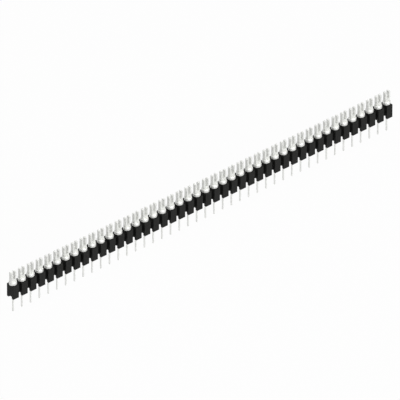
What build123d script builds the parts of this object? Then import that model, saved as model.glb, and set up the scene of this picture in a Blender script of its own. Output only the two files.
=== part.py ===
"""Single-row pin header strip: one moulded insulator and a row of turned, forked contacts.

Frame: millimetres, +Z up, +X along the row. The origin is the middle of the row on the plane
that the insulator's feet stand on. The tails point down, the forks point up.
"""

import os

from build123d import *

# Row
positions = 44
pitch = 2.54

# Insulator: one column per contact, joined by thin break-off webs
column_width = 1.62
body_depth = 2.29
body_height = 3.41
corner_radius = 0.06
channel_width = 1.07
channel_height = 0.52
web_thickness = 0.40
web_height = 2.40

# Contact, turned from one piece of wire stock
tail_diameter = 0.38
tail_length = 4.00
tail_tip_height = 0.22
tail_tip_diameter = 0.16
neck_diameter = 0.90
shank_diameter = 1.02
shank_length = 2.20
collar_diameter = 1.14
collar_height = 0.40
collar_depth = 1.00
flange_diameter = 1.84
flange_height = 0.89
flange_chamfer_top = 0.22
flange_chamfer_bottom = 0.12
fork_diameter = 1.61
fork_height = 2.45
fork_chamfer = 0.05
fork_flat_width = 0.83
slot_width = 0.63
slot_floor_height = 0.68

# Fits
bore_clearance = 0.02

# Heights and places that follow from the sizes above
flange_top = body_height + flange_height
fork_top = flange_top + fork_height
slot_floor = flange_top + slot_floor_height
shank_bottom = body_height - shank_length
collar_bottom = body_height - collar_depth - collar_height
overall_length = (positions - 1) * pitch + column_width
fork_side_cut = (fork_diameter - fork_flat_width) / 2

os.makedirs("parts", exist_ok=True)

# Insulator, moulded as one piece
with BuildPart() as insulator:
    # Columns
    with BuildSketch(Plane.XY):
        with GridLocations(pitch, body_depth, positions, 1):
            RectangleRounded(column_width, body_depth, corner_radius)
    extrude(amount=body_height)
    # Webs between the columns, along the middle of the row
    with BuildSketch(Plane.XY.offset(channel_height)):
        Rectangle((positions - 1) * pitch, web_thickness)
    extrude(amount=web_height)
    # Lengthwise channel that leaves a foot at the front and the back of each column
    with BuildSketch(Plane.XY):
        Rectangle(overall_length, channel_width)
    extrude(amount=channel_height, mode=Mode.SUBTRACT)
    # Stepped bores: the shank, the groove for its collar and the neck
    with BuildSketch(Plane.XY.offset(body_height)):
        with GridLocations(pitch, body_depth, positions, 1):
            Circle(shank_diameter / 2 + bore_clearance)
    extrude(amount=-shank_length, mode=Mode.SUBTRACT)
    with BuildSketch(Plane.XY.offset(collar_bottom - bore_clearance)):
        with GridLocations(pitch, body_depth, positions, 1):
            Circle(collar_diameter / 2 + bore_clearance)
    extrude(amount=collar_height + 2 * bore_clearance, mode=Mode.SUBTRACT)
    with BuildSketch(Plane.XY.offset(channel_height)):
        with GridLocations(pitch, body_depth, positions, 1):
            Circle(neck_diameter / 2 + bore_clearance)
    extrude(amount=shank_bottom - channel_height, mode=Mode.SUBTRACT)

insulator.part.label = "insulator"
export_step(insulator.part, "parts/insulator.step")


def half_profile():
    """Right half of the contact's section, from the tail's tip up to the fork's top."""
    return [
        (0, -tail_length),
        (tail_tip_diameter / 2, -tail_length),
        (tail_diameter / 2, -tail_length + tail_tip_height),
        (tail_diameter / 2, channel_height),
        (neck_diameter / 2, channel_height),
        (neck_diameter / 2, shank_bottom),
        (shank_diameter / 2, shank_bottom),
        (shank_diameter / 2, collar_bottom),
        (collar_diameter / 2, collar_bottom),
        (collar_diameter / 2, collar_bottom + collar_height),
        (shank_diameter / 2, collar_bottom + collar_height),
        (shank_diameter / 2, body_height),
        (flange_diameter / 2 - flange_chamfer_bottom, body_height),
        (flange_diameter / 2, body_height + flange_chamfer_bottom),
        (flange_diameter / 2, flange_top - flange_chamfer_top),
        (fork_diameter / 2, flange_top),
        (fork_diameter / 2, fork_top - fork_chamfer),
        (fork_diameter / 2 - fork_chamfer, fork_top),
        (0, fork_top),
    ]


# Contacts, one solid each, numbered from the -X end
for index in range(positions):
    row_x = (index - (positions - 1) / 2) * pitch
    section_plane = Plane(origin=(row_x, 0, 0), x_dir=(1, 0, 0), z_dir=(0, -1, 0))
    slot_plane = Plane(origin=(row_x, 0, slot_floor))
    flats_plane = Plane(origin=(row_x, 0, flange_top))

    with BuildPart() as contact:
        with BuildSketch(section_plane):
            with BuildLine():
                Polyline(*half_profile(), close=True)
            make_face()
        revolve(axis=Axis((row_x, 0, 0), (0, 0, 1)))
        # Flats along the fork's front and back
        with BuildSketch(flats_plane):
            with GridLocations(pitch, fork_flat_width + fork_side_cut, 1, 2):
                Rectangle(fork_diameter, fork_side_cut)
        extrude(amount=fork_height, mode=Mode.SUBTRACT)
        # Slot across the row, open at the top, that leaves the two prongs of the fork
        with BuildSketch(slot_plane):
            Rectangle(slot_width, fork_diameter)
        extrude(amount=fork_top - slot_floor, mode=Mode.SUBTRACT)

    node = f"contact_{index + 1:02d}"
    contact.part.label = node
    export_step(contact.part, f"parts/{node}.step")
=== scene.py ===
"""Looks of a single-row pin header strip: moulded insulator, turned contacts and a pale stage.

The panel's lengths are in metres, and MM turns millimetres into metres.
"""

import math

import bmesh
import bpy
from bpy.props import FloatProperty, FloatVectorProperty, IntProperty, PointerProperty
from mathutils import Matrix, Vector


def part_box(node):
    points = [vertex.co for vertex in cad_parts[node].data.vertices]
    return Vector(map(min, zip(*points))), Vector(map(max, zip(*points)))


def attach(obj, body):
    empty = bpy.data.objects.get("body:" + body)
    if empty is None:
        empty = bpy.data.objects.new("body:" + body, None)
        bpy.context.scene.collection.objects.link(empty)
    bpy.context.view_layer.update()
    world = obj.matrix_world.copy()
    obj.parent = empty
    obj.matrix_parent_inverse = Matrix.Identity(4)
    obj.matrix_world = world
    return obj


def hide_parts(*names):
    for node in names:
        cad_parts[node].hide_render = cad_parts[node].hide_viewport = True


bl_info = {
    "name": "Pin Header Strip",
    "version": (1, 0, 0),
    "blender": (4, 5, 0),
    "location": "View3D > Sidebar > Strip",
    "description": "Builds the looks of a pin header strip around its packed frame",
    "category": "Object",
}

MM = 0.001

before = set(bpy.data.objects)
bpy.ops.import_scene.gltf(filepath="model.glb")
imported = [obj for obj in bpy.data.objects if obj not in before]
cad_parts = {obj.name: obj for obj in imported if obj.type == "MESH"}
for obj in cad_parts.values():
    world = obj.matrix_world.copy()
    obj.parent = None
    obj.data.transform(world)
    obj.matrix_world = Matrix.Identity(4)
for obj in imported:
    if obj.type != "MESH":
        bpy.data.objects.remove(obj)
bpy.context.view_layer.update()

CONTACTS = sorted(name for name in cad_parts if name.startswith("contact_"))
INSULATOR_LOW, INSULATOR_HIGH = (Vector(corner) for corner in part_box("insulator"))


def middle_x(node):
    """X of the middle of a frame node."""
    low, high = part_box(node)
    return (low[0] + high[0]) / 2


FIRST_X = middle_x(CONTACTS[0])
PITCH = (middle_x(CONTACTS[-1]) - FIRST_X) / (len(CONTACTS) - 1)
LOWEST_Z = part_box(CONTACTS[0])[0][2]
COLUMN_WIDTH = 2 * (FIRST_X - INSULATOR_LOW.x)
BODY_DEPTH = INSULATOR_HIGH.y - INSULATOR_LOW.y
BODY_HEIGHT = INSULATOR_HIGH.z - INSULATOR_LOW.z

# Making of the insulator
BORE_SIDES = 32
CUT_PAST = 0.2 * MM  # how far the bore's cutter runs past the faces it opens
WEB_EMBED = 0.01 * MM  # how far each end of a web runs into its column

# Finish of the plastic
PLASTIC_ROUGHNESS = (0.52, 0.68)
PLASTIC_SPECULAR = 0.10
PLASTIC_GRAIN_HEIGHT = 0.006 * MM
PLASTIC_GRAIN_STRENGTH = 0.35

# Finish of the plating
PLATING_ROUGHNESS = (0.40, 0.50)
PLATING_METALLIC = 0.50
PLATING_GRAIN_HEIGHT = 0.002 * MM
PLATING_GRAIN_STRENGTH = 0.15
RING_HEIGHT = 0.003 * MM
RING_STRENGTH = 0.12
WAVE_TURN = math.tau / 20  # the wave texture turns by 20 radians in each unit of its own scale

# Stage
FLOOR_ROUGHNESS = 0.9
FLOOR_GLOW = 0.97  # share of plain white in what the camera sees of the floor
ROOM_LIGHT = 0.10
SENSOR_WIDTH = 36
LENS = 1640
NEAR_CLIP = 0.01
LAMPS = {  # place, and side of the square lamp, in metres
    "key": ((-0.12, -1.05, 0.50), 0.5),
    "top": ((0.0, 0.0, 1.2), 0.9),
    "side": ((-1.1, -0.1, 0.4), 0.5),
    "back": ((0.5, 1.0, 0.7), 0.7),
}


# Sizes and colours

def length(name, description, default):
    """A length for the panel."""
    return FloatProperty(name=name, description=description, default=default,
                         subtype="DISTANCE", unit="LENGTH")


def colour(name, description, default):
    """A colour for the panel."""
    return FloatVectorProperty(name=name, description=description, default=default, size=3,
                               min=0, max=1, subtype="COLOR")


class STRIP_PG_insulator(bpy.types.PropertyGroup):
    """Sizes and colours of the moulded insulator"""
    count: IntProperty(name="Columns", description="Number of columns in the row",
                       default=len(CONTACTS), min=1)
    pitch: length("Pitch", "Distance from one column to the next", PITCH)
    column_width: length("Column width", "Width of one column along the row", COLUMN_WIDTH)
    depth: length("Depth", "Depth of a column across the row", BODY_DEPTH)
    height: length("Height", "Height of a column from its feet", BODY_HEIGHT)
    channel_width: length("Channel width", "Width of the channel between the feet", 1.07 * MM)
    channel_height: length("Channel height", "Height of the channel between the feet", 0.52 * MM)
    web_thickness: length("Web thickness", "Thickness of the break-off webs", 0.40 * MM)
    web_height: length("Web height", "Height of the break-off webs", 2.40 * MM)
    neck_hole: length("Neck hole", "Diameter of the hole at the bottom of each bore", 0.94 * MM)
    shank_hole: length("Shank hole", "Diameter of the wide part of each bore", 1.06 * MM)
    shank_hole_depth: length("Shank hole depth", "Depth of the wide part from the top", 2.20 * MM)
    edge_radius: length("Edge radius", "Rounding of the moulded edges", 0.045 * MM)
    plastic: colour("Plastic", "Colour of the moulded plastic", (0.0145, 0.0147, 0.0139))
    plastic_pale: colour("Pale plastic", "Colour where the plastic is scuffed",
                         (0.0185, 0.0187, 0.0178))


class STRIP_PG_contact(bpy.types.PropertyGroup):
    """Colours and surface of the turned contacts"""
    metal: colour("Plating", "Colour of the tin plating", (0.85, 0.855, 0.83))
    metal_dull: colour("Dull plating", "Colour where the plating is dull", (0.80, 0.805, 0.78))
    ring_step: length("Turning step", "Distance between turning marks", 0.329 * MM)


class STRIP_PG_stage(bpy.types.PropertyGroup):
    """The floor, lamps and camera"""
    floor_size: length("Floor size", "Side of the square floor", 6.0)
    floor: colour("Floor", "Colour of the floor", (0.80, 0.80, 0.80))
    view_width: length("View width", "Width that the camera sees at the strip", 89.7 * MM)
    view_azimuth: FloatProperty(name="View azimuth", description="Turn of the camera about the strip",
                                default=math.radians(-39.9), subtype="ANGLE", unit="ROTATION")
    view_elevation: FloatProperty(name="View elevation", description="Height angle of the camera",
                                  default=math.radians(35.3), subtype="ANGLE", unit="ROTATION")
    aim_height: length("Aim height", "Height above the feet that the camera looks at", 1.65 * MM)
    aim_along: length("Aim along", "Place along the row that the camera looks at", -0.30 * MM)
    key_strength: FloatProperty(name="Key strength", description="Power of the front lamp", default=8.6)
    top_strength: FloatProperty(name="Top strength", description="Power of the overhead lamp", default=4.3)
    side_strength: FloatProperty(name="Side strength", description="Power of the left lamp", default=0.05)
    back_strength: FloatProperty(name="Back strength", description="Power of the rear lamp", default=1.0)


# Shader helpers

def add_node(tree, kind, **settings):
    """A node of this kind, with its settings."""
    node = tree.nodes.new(kind)
    for key, value in settings.items():
        setattr(node, key, value)
    return node


def new_group(name, inputs, outputs):
    """A shader node group: inputs are (kind, name, default) and outputs (kind, name)."""
    group = bpy.data.node_groups.new(name, "ShaderNodeTree")
    for kind, label, default in inputs:
        socket = group.interface.new_socket(name=label, in_out="INPUT", socket_type=kind)
        if default is not None:
            socket.default_value = default
    for kind, label in outputs:
        group.interface.new_socket(name=label, in_out="OUTPUT", socket_type=kind)
    return group, group.nodes.new("NodeGroupInput"), group.nodes.new("NodeGroupOutput")


def make_grain_group():
    """Two sizes of noise: a fine height for bump and a soft mask for colour and roughness."""
    group, source, sink = new_group(
        "surface_grain",
        [("NodeSocketVector", "Vector", None), ("NodeSocketFloat", "Fine Scale", 9000.0),
         ("NodeSocketFloat", "Patch Scale", 900.0), ("NodeSocketFloat", "Contrast", 0.5)],
        [("NodeSocketFloat", "Height"), ("NodeSocketFloat", "Mask")])
    links = group.links
    fine = add_node(group, "ShaderNodeTexNoise")
    fine.inputs["Detail"].default_value = 4.0
    fine.inputs["Roughness"].default_value = 0.65
    patch = add_node(group, "ShaderNodeTexNoise")
    patch.inputs["Detail"].default_value = 3.0
    half = add_node(group, "ShaderNodeMath", operation="MULTIPLY")
    half.inputs[1].default_value = 0.5
    low = add_node(group, "ShaderNodeMath", operation="SUBTRACT")
    low.inputs[0].default_value = 0.5
    high = add_node(group, "ShaderNodeMath", operation="ADD")
    high.inputs[0].default_value = 0.5
    spread = add_node(group, "ShaderNodeMapRange", interpolation_type="SMOOTHSTEP")
    links.new(source.outputs["Vector"], fine.inputs["Vector"])
    links.new(source.outputs["Vector"], patch.inputs["Vector"])
    links.new(source.outputs["Fine Scale"], fine.inputs["Scale"])
    links.new(source.outputs["Patch Scale"], patch.inputs["Scale"])
    links.new(source.outputs["Contrast"], half.inputs[0])
    links.new(half.outputs[0], low.inputs[1])
    links.new(half.outputs[0], high.inputs[1])
    links.new(patch.outputs["Fac"], spread.inputs["Value"])
    links.new(low.outputs[0], spread.inputs["From Min"])
    links.new(high.outputs[0], spread.inputs["From Max"])
    links.new(fine.outputs["Fac"], sink.inputs["Height"])
    links.new(spread.outputs["Result"], sink.inputs["Mask"])


def make_turning_group():
    """Rings left by a lathe: bands across the Z axis, a little uneven."""
    group, source, sink = new_group(
        "turning_marks",
        [("NodeSocketVector", "Vector", None), ("NodeSocketFloat", "Ring Scale", 6000.0)],
        [("NodeSocketFloat", "Height")])
    links = group.links
    wave = add_node(group, "ShaderNodeTexWave", wave_type="BANDS", bands_direction="Z")
    wave.inputs["Distortion"].default_value = 1.2
    wave.inputs["Detail"].default_value = 2.0
    wave.inputs["Detail Scale"].default_value = 1.5
    links.new(source.outputs["Vector"], wave.inputs["Vector"])
    links.new(source.outputs["Ring Scale"], wave.inputs["Scale"])
    links.new(wave.outputs["Fac"], sink.inputs["Height"])


def placed_group(tree, group, coordinates, **values):
    """Places a group in a material, on Object coordinates, with its own values."""
    node = add_node(tree, "ShaderNodeGroup", node_tree=group)
    tree.links.new(coordinates.outputs["Object"], node.inputs["Vector"])
    for key, value in values.items():
        node.inputs[key.replace("_", " ").title()].default_value = value
    return node


def colour_mix(tree, mask, first, second, shader):
    """Spreads two colours over the surface by a mask."""
    mix = add_node(tree, "ShaderNodeMix", data_type="RGBA")
    mix.inputs["A"].default_value = (*first, 1)
    mix.inputs["B"].default_value = (*second, 1)
    tree.links.new(mask, mix.inputs["Factor"])
    tree.links.new(mix.outputs["Result"], shader.inputs["Base Color"])


def roughness_range(tree, mask, low, high, shader):
    """Spreads the roughness between two values by a mask."""
    spread = add_node(tree, "ShaderNodeMapRange")
    spread.inputs["To Min"].default_value = low
    spread.inputs["To Max"].default_value = high
    tree.links.new(mask, spread.inputs["Value"])
    tree.links.new(spread.outputs["Result"], shader.inputs["Roughness"])


def bump(tree, height, distance, strength, shader, below=None):
    """Raises the surface by a height, on top of the bump below where there is one."""
    node = add_node(tree, "ShaderNodeBump")
    node.inputs["Distance"].default_value = distance
    node.inputs["Strength"].default_value = strength
    tree.links.new(height, node.inputs["Height"])
    if below is not None:
        tree.links.new(below.outputs["Normal"], node.inputs["Normal"])
    tree.links.new(node.outputs["Normal"], shader.inputs["Normal"])
    return node


def new_material(name):
    """A material with its tree, its shader and a node for Object coordinates."""
    material = bpy.data.materials.new(name)
    material.use_nodes = True
    tree = material.node_tree
    return material, tree, tree.nodes["Principled BSDF"], add_node(tree, "ShaderNodeTexCoord")


def make_plastic(settings):
    """Matt black moulded plastic with a fine spark-eroded grain."""
    material, tree, shader, coordinates = new_material("moulded_plastic")
    grain = placed_group(tree, bpy.data.node_groups["surface_grain"], coordinates,
                         fine_scale=14000.0, patch_scale=1300.0, contrast=0.5)
    colour_mix(tree, grain.outputs["Mask"], settings.plastic, settings.plastic_pale, shader)
    roughness_range(tree, grain.outputs["Mask"], *PLASTIC_ROUGHNESS, shader)
    bump(tree, grain.outputs["Height"], PLASTIC_GRAIN_HEIGHT, PLASTIC_GRAIN_STRENGTH, shader)
    shader.inputs["Specular IOR Level"].default_value = PLASTIC_SPECULAR
    return material


def make_plating(settings):
    """Satin tin plating over turned metal."""
    material, tree, shader, coordinates = new_material("tin_plating")
    grain = placed_group(tree, bpy.data.node_groups["surface_grain"], coordinates,
                         fine_scale=11000.0, patch_scale=1500.0, contrast=0.6)
    rings = placed_group(tree, bpy.data.node_groups["turning_marks"], coordinates,
                         ring_scale=WAVE_TURN / settings.ring_step)
    colour_mix(tree, grain.outputs["Mask"], settings.metal, settings.metal_dull, shader)
    roughness_range(tree, grain.outputs["Mask"], *PLATING_ROUGHNESS, shader)
    ring_bump = bump(tree, rings.outputs["Height"], RING_HEIGHT, RING_STRENGTH, shader)
    bump(tree, grain.outputs["Height"], PLATING_GRAIN_HEIGHT, PLATING_GRAIN_STRENGTH, shader, ring_bump)
    shader.inputs["Metallic"].default_value = PLATING_METALLIC
    return material


# Insulator

def column_mesh(settings):
    """One column about the origin: a block with a channel underneath, between its feet."""
    half_width = settings.column_width / 2
    half_depth = settings.depth / 2
    half_channel = settings.channel_width / 2
    section = [
        (-half_depth, 0), (-half_channel, 0), (-half_channel, settings.channel_height),
        (half_channel, settings.channel_height), (half_channel, 0), (half_depth, 0),
        (half_depth, settings.height), (-half_depth, settings.height),
    ]
    build = bmesh.new()
    ring = [build.verts.new((-half_width, y, z)) for y, z in section]
    face = build.faces.new(ring)
    moved = bmesh.ops.extrude_face_region(build, geom=[face])["geom"]
    corners = [part for part in moved if isinstance(part, bmesh.types.BMVert)]
    bmesh.ops.translate(build, verts=corners, vec=(settings.column_width, 0, 0))
    bmesh.ops.recalc_face_normals(build, faces=build.faces)
    mesh = bpy.data.meshes.new("column")
    build.to_mesh(mesh)
    build.free()
    return mesh


def bore_mesh(settings):
    """Cutter for a bore: a neck hole below a shank hole, without the groove for the collar."""
    neck_radius = settings.neck_hole / 2
    shank_radius = settings.shank_hole / 2
    step_z = settings.height - settings.shank_hole_depth
    outline = [
        (neck_radius, settings.channel_height - CUT_PAST), (neck_radius, step_z),
        (shank_radius, step_z), (shank_radius, settings.height + CUT_PAST),
    ]
    turns = [math.tau * i / BORE_SIDES for i in range(BORE_SIDES)]
    build = bmesh.new()
    rings = [[build.verts.new((radius * math.cos(turn), radius * math.sin(turn), z)) for turn in turns]
             for radius, z in outline]
    for lower, upper in zip(rings, rings[1:]):
        for i in range(BORE_SIDES):
            after = (i + 1) % BORE_SIDES
            build.faces.new((lower[i], lower[after], upper[after], upper[i]))
    build.faces.new(reversed(rings[0]))
    build.faces.new(rings[-1])
    bmesh.ops.recalc_face_normals(build, faces=build.faces)
    mesh = bpy.data.meshes.new("bore")
    build.to_mesh(mesh)
    build.free()
    return mesh


def new_object(name, mesh):
    """An object for a mesh, in the scene."""
    piece = bpy.data.objects.new(name, mesh)
    bpy.context.scene.collection.objects.link(piece)
    return piece


def make_row_tree():
    """Geometry Nodes: repeats the column along X and puts a web in each gap."""
    tree = bpy.data.node_groups.new("column_row", "GeometryNodeTree")
    interface = tree.interface
    interface.new_socket(name="Geometry", in_out="INPUT", socket_type="NodeSocketGeometry")
    for kind, label in (("NodeSocketInt", "Columns"), ("NodeSocketFloat", "Pitch"),
                        ("NodeSocketFloat", "Start X"), ("NodeSocketVector", "Web Size"),
                        ("NodeSocketFloat", "Web Z"), ("NodeSocketMaterial", "Material")):
        interface.new_socket(name=label, in_out="INPUT", socket_type=kind)
    interface.new_socket(name="Geometry", in_out="OUTPUT", socket_type="NodeSocketGeometry")
    source = tree.nodes.new("NodeGroupInput")
    sink = tree.nodes.new("NodeGroupOutput")
    links = tree.links

    step = add_node(tree, "ShaderNodeCombineXYZ")
    links.new(source.outputs["Pitch"], step.inputs["X"])
    start = add_node(tree, "ShaderNodeCombineXYZ")
    links.new(source.outputs["Start X"], start.inputs["X"])
    columns = add_node(tree, "GeometryNodeMeshLine", mode="OFFSET")
    links.new(source.outputs["Columns"], columns.inputs["Count"])
    links.new(start.outputs["Vector"], columns.inputs["Start Location"])
    links.new(step.outputs["Vector"], columns.inputs["Offset"])
    placed_columns = add_node(tree, "GeometryNodeInstanceOnPoints")
    links.new(columns.outputs["Mesh"], placed_columns.inputs["Points"])
    links.new(source.outputs["Geometry"], placed_columns.inputs["Instance"])

    gaps = add_node(tree, "ShaderNodeMath", operation="SUBTRACT")
    gaps.inputs[1].default_value = 1
    links.new(source.outputs["Columns"], gaps.inputs[0])
    half_pitch = add_node(tree, "ShaderNodeMath", operation="MULTIPLY_ADD")
    half_pitch.inputs[1].default_value = 0.5
    links.new(source.outputs["Pitch"], half_pitch.inputs[0])
    links.new(source.outputs["Start X"], half_pitch.inputs[2])
    web_start = add_node(tree, "ShaderNodeCombineXYZ")
    links.new(half_pitch.outputs[0], web_start.inputs["X"])
    links.new(source.outputs["Web Z"], web_start.inputs["Z"])
    web_line = add_node(tree, "GeometryNodeMeshLine", mode="OFFSET")
    links.new(gaps.outputs[0], web_line.inputs["Count"])
    links.new(web_start.outputs["Vector"], web_line.inputs["Start Location"])
    links.new(step.outputs["Vector"], web_line.inputs["Offset"])
    web = add_node(tree, "GeometryNodeMeshCube")
    links.new(source.outputs["Web Size"], web.inputs["Size"])
    placed_webs = add_node(tree, "GeometryNodeInstanceOnPoints")
    links.new(web_line.outputs["Mesh"], placed_webs.inputs["Points"])
    links.new(web.outputs["Mesh"], placed_webs.inputs["Instance"])

    joined = add_node(tree, "GeometryNodeJoinGeometry")
    links.new(placed_columns.outputs["Instances"], joined.inputs["Geometry"])
    links.new(placed_webs.outputs["Instances"], joined.inputs["Geometry"])
    real = add_node(tree, "GeometryNodeRealizeInstances")
    links.new(joined.outputs["Geometry"], real.inputs["Geometry"])
    painted = add_node(tree, "GeometryNodeSetMaterial")
    links.new(real.outputs["Geometry"], painted.inputs["Geometry"])
    links.new(source.outputs["Material"], painted.inputs["Material"])
    links.new(painted.outputs["Geometry"], sink.inputs["Geometry"])
    return tree


def set_inputs(modifier, values):
    """Sets a Geometry Nodes modifier's inputs by their names."""
    for item in modifier.node_group.interface.items_tree:
        if item.item_type == "SOCKET" and item.in_out == "INPUT" and item.name in values:
            modifier[item.identifier] = values[item.name]


def finished(piece, name):
    """A new object with the evaluated mesh of piece, and piece removed."""
    graph = bpy.context.evaluated_depsgraph_get()
    mesh = bpy.data.meshes.new_from_object(piece.evaluated_get(graph))
    mesh.name = name
    bpy.data.objects.remove(piece)
    return new_object(name, mesh)


class STRIP_OT_insulator(bpy.types.Operator):
    """Makes the moulded insulator: rounded columns with feet, a channel, bores and webs"""
    bl_idname = "strip.insulator"
    bl_label = "Insulator"

    def execute(self, context):
        settings = context.scene.strip_insulator
        plastic = make_plastic(settings)
        column = new_object("column", column_mesh(settings))
        bore = new_object("bore", bore_mesh(settings))
        rounding = column.modifiers.new("rounding", "BEVEL")
        rounding.width = settings.edge_radius
        rounding.segments = 2
        rounding.angle_limit = math.radians(50)
        rounding.harden_normals = True
        cut = column.modifiers.new("bore", "BOOLEAN")
        cut.operation = "DIFFERENCE"
        cut.object = bore
        row = column.modifiers.new("row", "NODES")
        row.node_group = make_row_tree()
        gap = settings.pitch - settings.column_width
        set_inputs(row, {
            "Columns": settings.count,
            "Pitch": settings.pitch,
            "Start X": -settings.pitch * (settings.count - 1) / 2,
            "Web Size": (gap + 2 * WEB_EMBED, settings.web_thickness, settings.web_height),
            "Web Z": settings.channel_height + settings.web_height / 2,
            "Material": plastic,
        })
        piece = finished(column, "insulator_body")
        bpy.data.objects.remove(bore)
        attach(piece, "root")
        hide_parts("insulator")
        return {"FINISHED"}


class STRIP_OT_contacts(bpy.types.Operator):
    """Gives the turned contacts their plating"""
    bl_idname = "strip.contacts"
    bl_label = "Contacts"

    def execute(self, context):
        plating = make_plating(context.scene.strip_contact)
        for name in CONTACTS:
            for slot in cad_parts[name].material_slots:
                slot.material = plating
        return {"FINISHED"}


# Stage

def glow_mix(tree, plain, glow, glow_share, sink):
    """Mixes a share of glow into plain for camera, glossy and transmission rays alone."""
    path = add_node(tree, "ShaderNodeLightPath")
    seen = add_node(tree, "ShaderNodeMath", operation="MAXIMUM")
    tree.links.new(path.outputs["Is Camera Ray"], seen.inputs[0])
    tree.links.new(path.outputs["Is Glossy Ray"], seen.inputs[1])
    through = add_node(tree, "ShaderNodeMath", operation="MAXIMUM")
    tree.links.new(seen.outputs[0], through.inputs[0])
    tree.links.new(path.outputs["Is Transmission Ray"], through.inputs[1])
    share = add_node(tree, "ShaderNodeMath", operation="MULTIPLY")
    share.inputs[1].default_value = glow_share
    tree.links.new(through.outputs[0], share.inputs[0])
    mix = add_node(tree, "ShaderNodeMixShader")
    tree.links.new(share.outputs[0], mix.inputs["Fac"])
    tree.links.new(plain.outputs[0], mix.inputs[1])
    tree.links.new(glow.outputs[0], mix.inputs[2])
    tree.links.new(mix.outputs[0], sink)


def make_floor(settings):
    """The square floor, level with the tips of the tails."""
    material = bpy.data.materials.new("stage_floor")
    material.use_nodes = True
    tree = material.node_tree
    shader = tree.nodes["Principled BSDF"]
    shader.inputs["Base Color"].default_value = (*settings.floor, 1)
    shader.inputs["Roughness"].default_value = FLOOR_ROUGHNESS
    light = add_node(tree, "ShaderNodeEmission")
    light.inputs["Color"].default_value = (1, 1, 1, 1)
    glow_mix(tree, shader, light, FLOOR_GLOW, tree.nodes["Material Output"].inputs["Surface"])
    mesh = bpy.data.meshes.new("floor")
    half = settings.floor_size / 2
    mesh.from_pydata([(-half, -half, LOWEST_Z), (half, -half, LOWEST_Z), (half, half, LOWEST_Z),
                      (-half, half, LOWEST_Z)], [], [(0, 1, 2, 3)])
    mesh.materials.append(material)
    new_object("floor", mesh)


def make_world():
    """A dim room light behind a white backdrop."""
    world = bpy.data.worlds.new("studio")
    bpy.context.scene.world = world
    world.use_nodes = True
    tree = world.node_tree
    room = tree.nodes["Background"]
    room.inputs["Color"].default_value = (1, 1, 1, 1)
    room.inputs["Strength"].default_value = ROOM_LIGHT
    seen = add_node(tree, "ShaderNodeBackground")
    seen.inputs["Color"].default_value = (1, 1, 1, 1)
    seen.inputs["Strength"].default_value = 1.0
    glow_mix(tree, room, seen, 1.0, tree.nodes["World Output"].inputs["Surface"])


def add_lamp(name, place, size, power):
    """A square lamp that points at the strip."""
    data = bpy.data.lights.new(name, "AREA")
    data.shape = "SQUARE"
    data.size = size
    data.energy = power
    lamp = bpy.data.objects.new(name, data)
    lamp.location = place
    lamp.rotation_euler = (-Vector(place)).to_track_quat("-Z", "Y").to_euler()
    bpy.context.scene.collection.objects.link(lamp)


def add_camera(settings):
    """A camera far off, so that the strip has hardly any perspective."""
    data = bpy.data.cameras.new("camera")
    data.sensor_width = SENSOR_WIDTH
    data.lens = LENS
    azimuth = settings.view_azimuth
    elevation = settings.view_elevation
    back = Vector((math.sin(azimuth) * math.cos(elevation),
                   -math.cos(azimuth) * math.cos(elevation), math.sin(elevation)))
    camera = bpy.data.objects.new("camera", data)
    distance = settings.view_width * data.lens / data.sensor_width
    camera.location = Vector((settings.aim_along, 0, settings.aim_height)) + back * distance
    camera.rotation_euler = (-back).to_track_quat("-Z", "Y").to_euler()
    data.clip_start = NEAR_CLIP
    data.clip_end = 2 * distance
    bpy.context.scene.collection.objects.link(camera)
    bpy.context.scene.camera = camera


class STRIP_OT_stage(bpy.types.Operator):
    """Makes the floor, the lamps, the world and the camera"""
    bl_idname = "strip.stage"
    bl_label = "Stage"

    def execute(self, context):
        settings = context.scene.strip_stage
        make_floor(settings)
        make_world()
        for name, (place, size) in LAMPS.items():
            add_lamp(name, place, size, getattr(settings, f"{name}_strength"))
        add_camera(settings)
        context.scene.view_settings.view_transform = "Standard"
        return {"FINISHED"}


class STRIP_PT_panel(bpy.types.Panel):
    """Lists the strip's pieces and settings"""
    bl_label = "Pin Header Strip"
    bl_space_type = "VIEW_3D"
    bl_region_type = "UI"
    bl_category = "Strip"

    def draw(self, context):
        for operator in (STRIP_OT_insulator, STRIP_OT_contacts, STRIP_OT_stage):
            self.layout.operator(operator.bl_idname)
        for group in (context.scene.strip_insulator, context.scene.strip_contact,
                      context.scene.strip_stage):
            box = self.layout.box()
            for name in group.__annotations__:
                box.prop(group, name)


CLASSES = (STRIP_PG_insulator, STRIP_PG_contact, STRIP_PG_stage, STRIP_OT_insulator, STRIP_OT_contacts,
           STRIP_OT_stage, STRIP_PT_panel)


def register():
    for kind in CLASSES:
        bpy.utils.register_class(kind)
    bpy.types.Scene.strip_insulator = PointerProperty(type=STRIP_PG_insulator)
    bpy.types.Scene.strip_contact = PointerProperty(type=STRIP_PG_contact)
    bpy.types.Scene.strip_stage = PointerProperty(type=STRIP_PG_stage)


def unregister():
    del bpy.types.Scene.strip_stage
    del bpy.types.Scene.strip_contact
    del bpy.types.Scene.strip_insulator
    for kind in reversed(CLASSES):
        bpy.utils.unregister_class(kind)


def main():
    register()
    make_grain_group()
    make_turning_group()
    bpy.ops.strip.stage()
    bpy.ops.strip.insulator()
    bpy.ops.strip.contacts()


if __name__ == "__main__":
    main()
